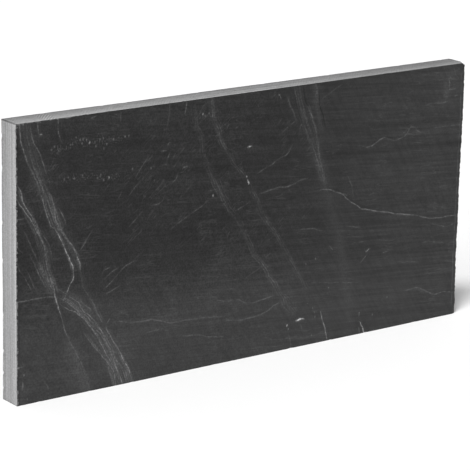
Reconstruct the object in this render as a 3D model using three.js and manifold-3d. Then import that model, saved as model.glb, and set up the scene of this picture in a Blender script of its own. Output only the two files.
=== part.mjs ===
// Slate edging stone: one slab of slate that stands on its long edge.
// Both large faces are split along the cleavage and keep low hollows and thin ledges.
// The top, the base and the left end are sawn flat, and the right end is hewn.
// Millimetres, +X along the length, +Y from the front face to the back face, +Z up.
// The origin is the middle of the base.
import * as THREE from "three";
import { ConvexGeometry } from "three/addons/geometries/ConvexGeometry.js";
import { mergeVertices } from "three/addons/utils/BufferGeometryUtils.js";
import Module from "manifold-3d";

// Driving dimensions of the slab, and the facets along and up its split faces
const LENGTH = 500;
const HEIGHT = 250;
const THICKNESS = 24;
const COLUMNS = 30;
const ROWS = 20;

// The split faces: the side they lie on, the depth of their hollows and the waves that make them
const FRONT = {
  side: -1,
  hollow: 0.7,
  waves: [
    { length: 210, heading: 25, start: 0.1, share: 0.5 },
    { length: 96, heading: 295, start: 0.45, share: 0.3 },
    { length: 61, heading: 65, start: 0.7, share: 0.2 },
  ],
};
const BACK = {
  side: 1,
  hollow: 1.1,
  waves: [
    { length: 180, heading: 324, start: 0.6, share: 0.45 },
    { length: 105, heading: 50, start: 0.2, share: 0.35 },
    { length: 55, heading: 281, start: 0, share: 0.2 },
  ],
};

// Ledges where a thin flake has come away above a line: the depth at the line, the reach above it,
// and the line's points, measured from the left end and up from the base
const FRONT_LEDGES = [
  {
    depth: 0.9,
    reach: 34,
    line: [
      [318, 149], [337, 148], [354, 141], [371, 128], [396, 118.5], [441, 108.5], [463, 101.5], [503, 100],
    ],
  },
  { depth: 0.5, reach: 16, line: [[364, 185], [384, 182], [402, 189], [416, 185], [435, 195], [452, 187]] },
  { depth: 0.6, reach: 26, line: [[100, 61], [119, 55.5], [141, 55.5], [160, 48.5], [200, 47], [224, 43]] },
  { depth: 0.45, reach: 14, line: [[168, 34], [186, 32.5], [203, 28], [227, 23]] },
  { depth: 0.45, reach: 16, line: [[203, 63], [235, 58], [255, 52], [282, 56]] },
  { depth: 0.45, reach: 12, line: [[217, 41], [240, 37.5], [264, 39.5], [288, 48.5]] },
  { depth: 0.45, reach: 14, line: [[254, 154.5], [275, 157.5], [289, 156.5], [318, 162.5]] },
  { depth: 0.5, reach: 18, line: [[250, 172.5], [272, 180.5], [287, 187], [294, 199]] },
  { depth: 0.5, reach: 18, line: [[430, 34], [450, 34.5], [473, 24], [486, 25], [503, 19]] },
];
const BACK_LEDGES = [
  {
    depth: 1,
    reach: 45,
    line: [[-3, 181], [34, 170], [62, 172], [96, 188], [131, 184], [158, 166], [204, 163], [246, 171]],
  },
  {
    depth: 0.9,
    reach: 40,
    line: [[150, 97], [188, 83], [221, 86], [243, 101], [288, 92], [330, 74], [402, 80]],
  },
  { depth: 0.7, reach: 30, line: [[322, 212], [351, 198], [379, 203], [414, 216], [452, 197], [503, 201]] },
  { depth: 0.7, reach: 28, line: [[30, 51], [64, 37], [97, 41], [125, 53], [158, 34], [190, 36]] },
];
const LEDGE_STEP = 8; // length of one facet along a ledge
const LEDGE_LEAN = 0.7; // rise of the ledge's own face for each unit of depth
const LEDGE_RISE = 2; // height that a flake's scar keeps where its line ends
const CUT_MARGIN = 3; // how far cutters stand out of the faces
const FEATHER_MARGIN = 0.12; // how far they stand out where a scar thins out

// The oval scar of a flake near the base of the front face, and the dish that cuts it,
// as shares of its radius and depth
const SCAR = { x: 314, z: 33, radius: 10, stretch: 1.25, turn: 26, depth: 0.8, sides: 22 };
const DISH_PROFILE = [[0, -2], [1, -2], [1, -0.1], [0.86, 0.45], [0.55, 0.85], [0, 1]];

// The hewn end: layers of cleavage from front to back, each with its own recess.
// The front layer's recess is listed up the height, and the inner layers' are waves.
const FRONT_LAYER = [
  [0, 0.35], [12.5, 0], [37.5, 0.5], [62.5, 1.45], [100, 0.9], [137.5, 1.2],
  [162.5, 0.75], [187.5, 0.25], [212.5, 0], [237.5, 0.7], [250, 0.8],
];
const INNER_LAYERS = [
  { from: -8.2, recess: 0.4, swing: 0.9, wave: 88, start: 0.3 },
  { from: -2.6, recess: 1.2, swing: 1.2, wave: 131, start: 0.75 },
  { from: 4.3, recess: 0.5, swing: 1.1, wave: 74, start: 0.1 },
  { from: 8.9, recess: 1.7, swing: 1.3, wave: 112, start: 0.5 },
];
const LAYER_STEP = 0.3; // thickness over which one layer gives way to the next

// The broken corner at the top of the hewn end: its reach along the three edges that met there
const CORNER = { along: 5.5, through: 10, down: 2.9 };
const CORNER_OVERLAP = 1.6;

// Chips along the sharp edges: the place along the edge, the half length and the depth
const TOP_CHIPS = [
  [9, 5, 0.9], [69, 5, 0.8], [92, 7, 1], [171, 4, 0.7],
  [243, 6, 0.8], [318, 5, 1], [402, 7, 0.8], [456, 4, 0.9],
];
const BASE_CHIPS = [
  [22, 5, 0.9], [73, 6, 0.8], [119, 5, 1.1], [209, 8, 0.9],
  [297, 6, 1.2], [344, 4, 0.9], [386, 5, 1.3], [447, 7, 0.9],
];
const END_CHIPS = [
  [13, 4, 0.9], [45, 6, 0.7], [94, 5, 0.9], [128, 4, 0.7],
  [176, 6, 0.8], [204, 5, 1], [229, 4, 0.8], [243, 4, 1.2],
];
const BACK_CHIP_SHIFT = 31;

// A chip's corners: shares of the half length along the edge, and of the depth into the face and the side
const CHIP_CORNERS = [
  [-1, -0.4, -0.4], [1, -0.4, -0.4], [-0.3, 1.5, -0.2],
  [0.4, 1.2, -0.2], [0.2, -0.2, 1], [0, -1.6, -1.6],
];

const MERGE_DISTANCE = 1e-4;
const wasm = await Module();
wasm.setup();

const columnX = (i) => LENGTH * (i / COLUMNS - 0.5);
const rowZ = (j) => (HEIGHT * j) / ROWS;

// How far a split face's hollows go in at a point
function hollowAt(face, x, z) {
  let sum = 0;
  for (const { length, heading, start, share } of face.waves) {
    const turn = THREE.MathUtils.degToRad(heading);
    const travel = (x * Math.cos(turn) + z * Math.sin(turn)) / length + start;
    sum += share * Math.sin(2 * Math.PI * travel);
  }
  return (face.hollow * (1 + sum)) / 2;
}

// The shallowest hollow among a face's corners, which is brought out to the full thickness
function shallowest(face) {
  let least = Infinity;
  for (let i = 0; i <= COLUMNS; i++)
    for (let j = 0; j <= ROWS; j++) least = Math.min(least, hollowAt(face, columnX(i), rowZ(j)));
  return least;
}

for (const face of [FRONT, BACK]) face.least = shallowest(face);

// Where a split face lies through the thickness
const faceY = (face, x, z) => face.side * (THICKNESS / 2 - hollowAt(face, x, z) + face.least);

// Recess of the hewn end's front layer at a height
function frontRecess(z) {
  const above = Math.max(1, FRONT_LAYER.findIndex(([height]) => height >= z));
  const [lowZ, low] = FRONT_LAYER[above - 1];
  const [highZ, high] = FRONT_LAYER[above];
  return THREE.MathUtils.mapLinear(z, lowZ, highZ, low, high);
}

// Recess of an inner layer of the hewn end at a height
function innerRecess({ recess, swing, wave, start }, z) {
  return recess + (swing * (1 + Math.sin(2 * Math.PI * (z / wave + start)))) / 2;
}

// Points across the hewn end at a height, from the front face to the back face
function endPoints(z) {
  let x = LENGTH / 2 - frontRecess(z);
  const points = [new THREE.Vector3(x, faceY(FRONT, x, z), z)];
  for (const layer of INNER_LAYERS) {
    points.push(new THREE.Vector3(x, layer.from - LAYER_STEP / 2, z));
    x = LENGTH / 2 - innerRecess(layer, z);
    points.push(new THREE.Vector3(x, layer.from + LAYER_STEP / 2, z));
  }
  points.push(new THREE.Vector3(x, faceY(BACK, x, z), z));
  return points;
}

// A corner of a split face's facets, whose last column follows the hewn end
function facePoint(face, i, j) {
  const z = rowZ(j);
  if (i === COLUMNS) return endPoints(z).at(face === FRONT ? 0 : -1);
  return new THREE.Vector3(columnX(i), faceY(face, columnX(i), z), z);
}

// Adds the triangles of a grid of points, counter-clockwise from outside
function addGrid(triangles, pointAt, columns, rows) {
  for (let i = 0; i < columns; i++)
    for (let j = 0; j < rows; j++) {
      const a = pointAt(i, j);
      const b = pointAt(i + 1, j);
      const c = pointAt(i + 1, j + 1);
      const d = pointAt(i, j + 1);
      triangles.push(a, b, c, a, c, d);
    }
}

// Adds the flat top or base inside the outline that the four sides leave there
function addCap(triangles, row, up) {
  const count = { length: COLUMNS + 1 };
  const front = Array.from(count, (_, i) => facePoint(FRONT, i, row));
  const back = Array.from(count, (_, i) => facePoint(BACK, COLUMNS - i, row));
  const outline = [...front, ...endPoints(rowZ(row)).slice(1, -1), ...back];
  for (const [a, b, c] of THREE.ShapeUtils.triangulateShape(outline, []))
    triangles.push(outline[a], outline[up ? b : c], outline[up ? c : b]);
}

// The slab before its ledges and chips are cut
function slabBlank() {
  const triangles = [];
  const endSteps = endPoints(0).length - 1;
  addGrid(triangles, (i, j) => facePoint(FRONT, i, j), COLUMNS, ROWS);
  addGrid(triangles, (i, j) => facePoint(BACK, COLUMNS - i, j), COLUMNS, ROWS);
  addGrid(triangles, (i, j) => endPoints(rowZ(j))[i], endSteps, ROWS);
  addGrid(triangles, (i, j) => facePoint(i === 0 ? BACK : FRONT, 0, j), 1, ROWS);
  addCap(triangles, ROWS, true);
  addCap(triangles, 0, false);
  return new THREE.BufferGeometry().setFromPoints(triangles);
}

// A closed geometry as a solid
function solidOf(geometry) {
  const loose = geometry.index ? geometry.toNonIndexed() : geometry;
  const bare = new THREE.BufferGeometry().setAttribute("position", loose.getAttribute("position"));
  const merged = mergeVertices(bare, MERGE_DISTANCE);
  const vertProperties = merged.getAttribute("position").array;
  const triVerts = new Uint32Array(merged.index.array);
  return new wasm.Manifold(new wasm.Mesh({ numProp: 3, vertProperties, triVerts }));
}

// A closed skin over a row of equal sections
function loft(sections) {
  const triangles = [];
  const sides = sections[0].length;
  const first = sections[0];
  const last = sections.at(-1);
  addGrid(triangles, (i, j) => sections[i][j % sides], sections.length - 1, sides);
  for (let k = 1; k < sides - 1; k++)
    triangles.push(first[0], first[k], first[k + 1], last[0], last[k + 1], last[k]);
  return new THREE.BufferGeometry().setFromPoints(triangles);
}

// Cutter of a ledge: a wedge that is deepest at the line and thins out above it
function ledgeCutter(face, { depth, reach, line }) {
  const curve = new THREE.SplineCurve(line.map(([x, z]) => new THREE.Vector2(x - LENGTH / 2, z)));
  const steps = Math.round(curve.getLength() / LEDGE_STEP);
  const sections = [];
  for (let k = 0; k <= steps; k++) {
    const { x, y: z } = curve.getPointAt(k / steps);
    const fade = Math.sqrt(Math.sin((Math.PI * k) / steps));
    const deep = depth * fade - FEATHER_MARGIN;
    const top = z + LEDGE_RISE + reach * fade;
    const point = (inward, height) =>
      new THREE.Vector3(x, faceY(face, x, height) - face.side * inward, height);
    sections.push([
      point(-CUT_MARGIN, z - CUT_MARGIN * LEDGE_LEAN),
      point(deep, z + deep * LEDGE_LEAN),
      point(-FEATHER_MARGIN, top),
      point(-CUT_MARGIN, top),
    ]);
  }
  return loft(face === BACK ? sections : sections.reverse());
}

// Cutter of the oval scar: a shallow dish with its axis through the slab
function scarCutter() {
  const { z, radius, stretch, turn, depth, sides } = SCAR;
  const x = SCAR.x - LENGTH / 2;
  const profile = DISH_PROFILE.map(([r, share]) => new THREE.Vector2(r * radius, share * depth));
  const dish = new THREE.LatheGeometry(profile, sides).scale(stretch, 1, 1);
  return dish.rotateY(THREE.MathUtils.degToRad(turn)).translate(x, faceY(FRONT, x, z), z);
}

// Cutter of the broken corner: a pyramid whose base lies in the break
function cornerCutter() {
  const { along, through, down } = CORNER;
  const corner = new THREE.Vector3(LENGTH / 2, -THICKNESS / 2, HEIGHT);
  const reaches = [
    corner.clone().setX(corner.x - along),
    corner.clone().setY(corner.y + through),
    corner.clone().setZ(corner.z - down),
  ];
  const middle = new THREE.Triangle(...reaches).getMidpoint(new THREE.Vector3());
  const base = reaches.map((point) => middle.clone().lerp(point, CORNER_OVERLAP));
  const tip = new THREE.Vector3(along, -through, down).add(corner);
  return new ConvexGeometry([...base, tip]);
}

// Cutter of a chip: a small scoop between the two faces that meet at a sharp edge
function chipCutter(place, along, inFace, inSide, half, depth) {
  const corners = CHIP_CORNERS.map(([a, f, s]) =>
    place
      .clone()
      .addScaledVector(along, a * half)
      .addScaledVector(inFace, f * depth)
      .addScaledVector(inSide, s * depth),
  );
  return new ConvexGeometry(corners);
}

// Cutters of all chips around one split face
function chipCutters(face, shift) {
  const right = new THREE.Vector3(1, 0, 0);
  const up = new THREE.Vector3(0, 0, 1);
  const down = new THREE.Vector3(0, 0, -1);
  const inward = new THREE.Vector3(0, -face.side, 0);
  const onFace = (x, z) => new THREE.Vector3(x, faceY(face, x, z), z);
  const level = (chips, z, inFace) =>
    chips.map(([from, half, depth]) => {
      const x = ((from + shift) % LENGTH) - LENGTH / 2;
      return chipCutter(onFace(x, z), right, inFace, inward, half, depth);
    });
  const upright = END_CHIPS.map(([from, half, depth]) => {
    const z = (from + shift) % HEIGHT;
    return chipCutter(onFace(-LENGTH / 2, z), up, right, inward, half, depth);
  });
  return [...level(TOP_CHIPS, HEIGHT, down), ...level(BASE_CHIPS, 0, up), ...upright];
}

// The finished slab
function slabGeometry() {
  const cutters = [
    ...FRONT_LEDGES.map((ledge) => ledgeCutter(FRONT, ledge)),
    ...BACK_LEDGES.map((ledge) => ledgeCutter(BACK, ledge)),
    ...chipCutters(FRONT, 0),
    ...chipCutters(BACK, BACK_CHIP_SHIFT),
    scarCutter(),
    cornerCutter(),
  ];
  let solid = solidOf(slabBlank());
  for (const cutter of cutters) solid = solid.subtract(solidOf(cutter));
  const { numProp, vertProperties, triVerts } = solid.getMesh();
  const geometry = new THREE.BufferGeometry();
  geometry.setAttribute("position", new THREE.BufferAttribute(vertProperties, numProp));
  geometry.setIndex(new THREE.BufferAttribute(triVerts, 1));
  geometry.computeVertexNormals();
  return geometry;
}

const slate = new THREE.MeshStandardMaterial({ color: 0x3d3d3e, roughness: 0.72, metalness: 0 });
const slab = new THREE.Mesh(slabGeometry(), slate);
slab.name = "slate_slab";

const stone = new THREE.Group();
stone.add(slab);

export default stone;
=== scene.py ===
"""A slate edging stone that stands on its long edge, dressed around its solid.

The solid's own facets are cut up finely and given the low relief of split slate. Three materials dress
it: the dark split faces with their light veins, the pale sawn edges and the layered hewn end.

Lengths are in millimetres and angles in degrees, unless a comment says otherwise. Marks on the front
face are placed by x from the left end and z up from the base, and all else from the middle of the base.
"""
import math

import bmesh
import bpy
from mathutils import Matrix, Vector, noise


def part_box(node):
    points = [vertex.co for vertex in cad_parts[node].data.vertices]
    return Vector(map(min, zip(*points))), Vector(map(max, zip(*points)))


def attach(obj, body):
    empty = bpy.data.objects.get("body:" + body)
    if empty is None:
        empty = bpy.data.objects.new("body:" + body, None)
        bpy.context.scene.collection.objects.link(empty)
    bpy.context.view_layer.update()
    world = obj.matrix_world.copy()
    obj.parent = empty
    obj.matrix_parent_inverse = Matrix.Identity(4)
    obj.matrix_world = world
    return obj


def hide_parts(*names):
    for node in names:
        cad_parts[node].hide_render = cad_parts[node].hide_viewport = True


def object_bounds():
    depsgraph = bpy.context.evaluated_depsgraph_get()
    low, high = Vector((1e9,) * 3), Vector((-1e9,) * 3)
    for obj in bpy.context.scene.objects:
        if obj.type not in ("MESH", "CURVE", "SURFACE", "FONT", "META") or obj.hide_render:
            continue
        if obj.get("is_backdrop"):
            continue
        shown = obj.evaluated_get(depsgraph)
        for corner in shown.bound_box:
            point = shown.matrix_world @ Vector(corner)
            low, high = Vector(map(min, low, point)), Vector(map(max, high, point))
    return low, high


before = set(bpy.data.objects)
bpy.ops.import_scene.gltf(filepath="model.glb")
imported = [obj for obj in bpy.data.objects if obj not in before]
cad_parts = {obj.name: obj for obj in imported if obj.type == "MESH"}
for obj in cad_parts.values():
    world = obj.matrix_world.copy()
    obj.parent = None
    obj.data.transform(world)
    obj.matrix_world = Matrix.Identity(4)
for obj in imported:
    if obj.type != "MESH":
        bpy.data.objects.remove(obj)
CAD_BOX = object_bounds()

MM = 0.001
NODE = "slate_slab"
LOW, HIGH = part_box(NODE)
LENGTH, THICKNESS, HEIGHT = (size / MM for size in HIGH - LOW)
LEFT, FRONT = -LENGTH / 2, -THICKNESS / 2
VEIN_SLOPE, LAYER_SLOPE = -58, -5

# Facets: the distance at which corners of the solid are one, and then those of the cut facets, and the
# height below which a facet is a sliver
MERGE, WELD, SLIVER = 0.05, 0.0002, 0.001

# Longest edge in each round of cutting: on the front's border along the hewn end, on the rest of the
# front, and elsewhere, which is all that lies deeper than the front
LONGEST_EDGES = ((8, 8, 8), (4, 4, 4), (2.4, 2.4, 6), (1.4, 50, 50))
BORDER_WIDTH, FRONT_DEPTH = 9, 3

# Finishes: how squarely a sawn or hewn facet faces outwards, and how near the outside it lies
SPLIT, SAWN, HEWN = range(3)
SAWN_FACING, SAWN_DEPTH = 0.9, 0.8
HEWN_FACING, HEWN_DEPTH = 0.5, 14

# Angles between facets: past the first their edge is an arris, and past the second it looks sharp
ARRIS_ANGLE, SHARP_ANGLE = 55, 38

# Relief in kinds of wave: height, size along, through and up the stone, and where the noise starts.
# Ridges follow the veins, so their size is across the veins, through the stone and along the veins.
RIDGES = (0.2, (19, 20, 70), 0)
STEPS = (0.1, (34, 20, 8), 7)
DIMPLES = (0.06, (6, 20, 5), 3)
LUMPS = (0.3, (9, 2.4, 7), 0)
SPLINTERS = (0.15, (3, 2, 3), 0)

# Wear of the arrises: its depth, how much that varies, and over what distance
WEAR_DEPTH, WEAR_SWING, WEAR_SIZE = 0.05, 0.1, 4

# Broken arris between the front and the hewn end: width on the front, depth, the most times that depth,
# and reach through the stone. Jags and nicks are waves that change the width by a share of it.
ARRIS_WIDTH, ARRIS_DEPTH, ARRIS_MOST, ARRIS_REACH = 3.6, 1.7, 1.3, 5
ARRIS_SWING = 0.5
JAGS = (1, (1, 1, 8), 5)
NICKS = (0.7, (1, 1, 2.8), 9)

# Marks: over what distance they end, or over what share of a short one, how near the border they run on
# past it, how far the curves reach past it, and the gap between two marks in one curve, as a share
FADE, FADE_SHARE = 5, 0.3
RIM, MARGIN = 4.5, 6
CURVE_GAP = 0.009

# Half widths of the marks, at which they have faded to a quarter, and what the lines gain in strength
STRAND_HALF, LINE_HALF, SEAM_HALF = 0.6, 0.7, 0.8
NARROW_HALF, DARK_HALF, PITTED_HALF, WIDE_HALF, HAZE_HALF = 2.8, 3.5, 5, 6, 8
LINE_GAIN = 1.4

# Strengths of the marks, from a mere hint to a white fleck
HINT, TRACE, FAINT, CLEAR, BRIGHT, WHITE = 0.024, 0.04, 0.075, 0.13, 0.26, 0.8

# Thin strands that run down more than across: strength, then points from the top down. A third number
# makes a point that much stronger or weaker than the rest of its strand.
STRANDS = (
    # Bundle from the upper left corner to the base
    (CLEAR, (3.5, 248, 1.3), (5, 238, 1.3), (6.5, 230, 1.2), (10, 220, 0.9), (13, 213, 0.6), (18, 203, 0.5),
        (26, 188, 0.6)),
    (FAINT, (13, 247, 0.7), (15, 241), (18, 231), (21, 226, 2.4), (24, 221, 1.6), (28.5, 208, 0.8),
        (31, 201)),
    (FAINT, (21, 247), (23, 238)),
    (FAINT, (42.5, 248), (42, 240), (45, 231, 0.6), (47, 227)),
    (CLEAR, (25, 187, 0.5), (28, 176, 0.6), (31, 166, 0.8), (35, 157), (40, 152), (45, 143, 1.6),
        (50, 133, 1.9), (54, 124, 1.9), (57.5, 116, 2), (58, 108, 2), (57, 105, 1.8), (53.5, 101, 1.6),
        (51, 95, 1.2), (47, 87)),
    (FAINT, (50.5, 130), (54, 122), (56, 112)),
    (FAINT, (34, 185), (36, 178), (40, 162), (43, 154), (47, 149, 1.3), (51, 144.5), (55.5, 137, 1.3),
        (61, 127, 1.5), (62.5, 124, 3), (64.5, 118, 1.3), (64.5, 110, 0.5), (67, 98, 0.3), (70.5, 91, 0.4),
        (74.5, 85.5, 0.5), (79, 79, 0.6), (84, 68, 0.7), (89, 60)),
    (FAINT, (40.5, 177, 0.6), (42.5, 171), (46, 165, 1.4), (49, 160), (50, 153, 0.6)),
    # Bundle from the left end, which meets the first one
    (CLEAR, (0.5, 200), (4, 193), (7, 183), (11, 175), (15.5, 168), (20, 161, 0.7), (25, 148, 0.5)),
    (CLEAR, (0.5, 187), (5, 178), (10, 171), (13, 167), (18, 159), (21, 153, 0.7), (25, 148, 0.6),
        (28, 140, 0.7), (29.5, 129), (31, 120, 0.7), (34, 112, 0.6), (37, 105, 0.8), (38, 98, 1.4),
        (39, 93, 1.8), (41, 86, 1.5), (44, 78), (47, 68), (49.5, 61), (51, 57, 0.8), (54, 50, 0.3)),
    (TRACE, (52, 54), (57, 46, 0.9), (61, 39, 0.6), (67, 25, 0.6), (72, 12, 0.6), (76, 4, 0.6)),
    (TRACE, (22, 158), (27, 150), (32, 143), (35, 134), (38, 127)),
    (FAINT, (0.5, 148), (2.5, 141), (7, 136)),
    (TRACE, (1, 132), (4, 121, 1.4), (9, 114, 1.6), (13, 107, 1.6), (16, 101), (18, 96)),
    (TRACE, (10, 122), (15, 112, 1.6), (19, 103, 1.4), (22, 97)),
    (TRACE, (6, 160), (12, 148, 1.4), (17, 138, 1.2), (22, 126), (27, 115)),
    (TRACE, (13, 136), (19, 124, 1.4), (24, 113, 1.6), (30, 102, 1.4)),
    (TRACE, (26.5, 172), (23, 164)),
    # Crossing of the two bundles
    (FAINT, (40.5, 99.5), (46, 96.5, 1.5), (51, 92.5, 1.5), (56, 89), (62.5, 84.5, 1.5), (65, 80), (69, 74),
        (73.5, 70.5, 1.4), (78, 66), (82, 61, 1.5), (85, 57, 2.5), (88, 51, 1.5), (93.5, 40),
        (98.5, 28, 1.2), (103.5, 14.5, 1.8), (107, 7.5, 2.2), (110, 1, 1.6)),
    (FAINT, (42, 86), (49, 82, 1.3), (54.5, 78, 1.6), (61.5, 74, 1.6), (67, 69, 1.8), (72.5, 63.5, 1.6),
        (77, 57.5), (81, 52, 1.4), (85.5, 44.5), (89.5, 38, 1.4), (92, 32), (96, 25, 1.6), (101, 14, 1.6)),
    (FAINT, (63, 88), (68, 82), (74, 77), (78, 72)),
    (FAINT, (67, 58, 0.6), (72, 51, 0.6), (77, 44), (82.5, 36.5), (87, 32), (91, 27), (94.5, 21, 1.8),
        (99, 16, 1.8), (101, 8, 1.8), (103, 1, 1.5)),
    # Lower end of the bundle
    (FAINT, (91, 57), (94, 52, 1.4), (98, 46), (100, 41), (104.5, 34.5, 1.4), (108, 27, 1.6),
        (112, 19, 2.2), (116, 11.5, 2.2), (121, 2.5, 1.8)),
    (FAINT, (95.5, 40), (98, 35), (101, 27), (105.5, 19), (110.5, 11), (114.5, 3)),
    (FAINT, (99, 28), (104, 22), (112, 12), (117, 2)),
    (BRIGHT, (100.5, 20), (104, 12)),
    (FAINT, (96.5, 65), (95, 62.5), (92, 58.5)),
    (FAINT, (75, 145, 0.7), (70, 137), (66, 132), (63, 129)),
    # Fan at the upper right
    (TRACE, (285, 243), (291, 230), (295, 222), (298, 218)),
    (TRACE, (293, 247), (297, 237), (299, 229)),
    (TRACE, (308, 232, 0.8), (313, 223, 1.8), (317, 215, 1.1), (321, 202, 0.8), (324.5, 185, 0.7),
        (327, 170, 0.6), (334.5, 151, 0.5)),
    (TRACE, (318.5, 247), (320, 237), (320.5, 232, 0.8)),
    (TRACE, (305, 213), (310, 205), (315.5, 193.5), (318, 187), (322, 178), (326, 165)),
    (TRACE, (357, 160), (361, 155), (364.5, 147.5), (366.5, 141), (367, 135)),
    (TRACE, (338.5, 94.5), (342.5, 90), (345, 87)),
    # Short upright marks
    (TRACE, (157.5, 248), (156.5, 239), (154.5, 230), (153, 225.5)),
    (CLEAR, (156, 215), (155.8, 212)),
    (FAINT, (157.5, 205), (155, 199.5)),
    (TRACE, (175.5, 246, 1.5), (174, 240, 1.6), (172, 236.5, 1.6), (168, 235.5, 1.3), (163.5, 234.5)),
    (FAINT, (167.5, 187.5), (165.5, 182), (163, 179), (160, 177.5)),
    (FAINT, (153.5, 168), (150, 162.5), (146, 160.5)),
    (TRACE, (106, 246), (105.5, 238)),
    (TRACE, (91, 113), (85.5, 102)),
    (FAINT, (6.5, 23), (6.8, 18), (6.2, 13)),
    (TRACE, (28, 18), (31, 14), (33, 9)),
    (TRACE, (294, 17), (297, 8), (299, 1)),
    (TRACE, (308, 22), (310, 16)),
    (CLEAR, (331, 31), (332, 27, 1.5), (334, 21, 1.9), (336, 16.5, 1.4), (338.5, 9, 1.4), (341, 3.5)),
    (CLEAR, (378, 22, 1.6), (377.5, 17, 1.6)),
    (WHITE, (379, 12.3), (382.7, 6.4), (386, 0)),
    (FAINT, (378, 8), (380, 4)),
    # Light patch at the upper right
    (TRACE, (471, 248), (476, 242), (481, 238), (487, 233, 0.6)),
    (TRACE, (479, 239), (480.5, 231), (479.5, 225)),
    (HINT, (484, 246), (487, 240), (491, 236)),
    (HINT, (474, 232), (475, 224), (477, 217)),
)

# Light line along the broken arris at the right, in the same form
ARRIS_LINE = ((TRACE, (494.5, 242), (495.4, 205), (494.6, 165), (495.2, 120), (494.4, 70), (495, 8)),)

# The two veins of the middle, in the same form
MIDDLE_VEINS = (
    (TRACE, (201.5, 247), (203, 234), (206, 226), (211, 219, 1.3), (212, 212), (215, 205.5, 1.6),
        (217, 202, 1.4), (223, 198, 0.5), (227, 187), (233, 182.5), (236.5, 178, 1.4), (241, 173, 1.6)),
    (TRACE, (206, 240), (208, 229), (214, 216)),
    (TRACE, (247.5, 160), (251.5, 154, 1.6), (256, 145), (260, 135), (266, 128, 1.4), (273, 118),
        (277, 114, 1.4), (284.5, 102), (289, 95.5), (293.5, 87.5, 1.4), (297, 82), (302.5, 74.5),
        (309.5, 65.5, 1.3), (317, 53)),
    (TRACE, (180, 248, 0.4), (183, 238, 0.5), (186, 225), (192.5, 216, 0.6), (194, 198), (199, 188, 0.6),
        (203, 180), (208, 168, 1.6), (211, 163, 1.8), (214.5, 155.5, 1.8), (218, 150, 1.5),
        (222.5, 143, 1.5), (226, 137)),
    (TRACE, (209, 176), (212.5, 167), (217, 158), (222.5, 150), (229, 141.5), (235.5, 133), (239, 126.5)),
    (TRACE, (240, 122), (244, 116.5), (247, 110, 1.4), (253.5, 96.5, 1.4), (258, 92), (262.5, 88, 2),
        (267, 82, 1.6), (270, 75), (273.5, 72, 1.4), (278, 64.5, 1.4), (282, 57), (286.5, 52, 1.4),
        (289, 45.5), (301, 31)),
    (TRACE, (284, 57), (289, 52, 1.5), (296, 44, 1.5), (301, 39), (307, 31, 1.5)),
)

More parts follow.
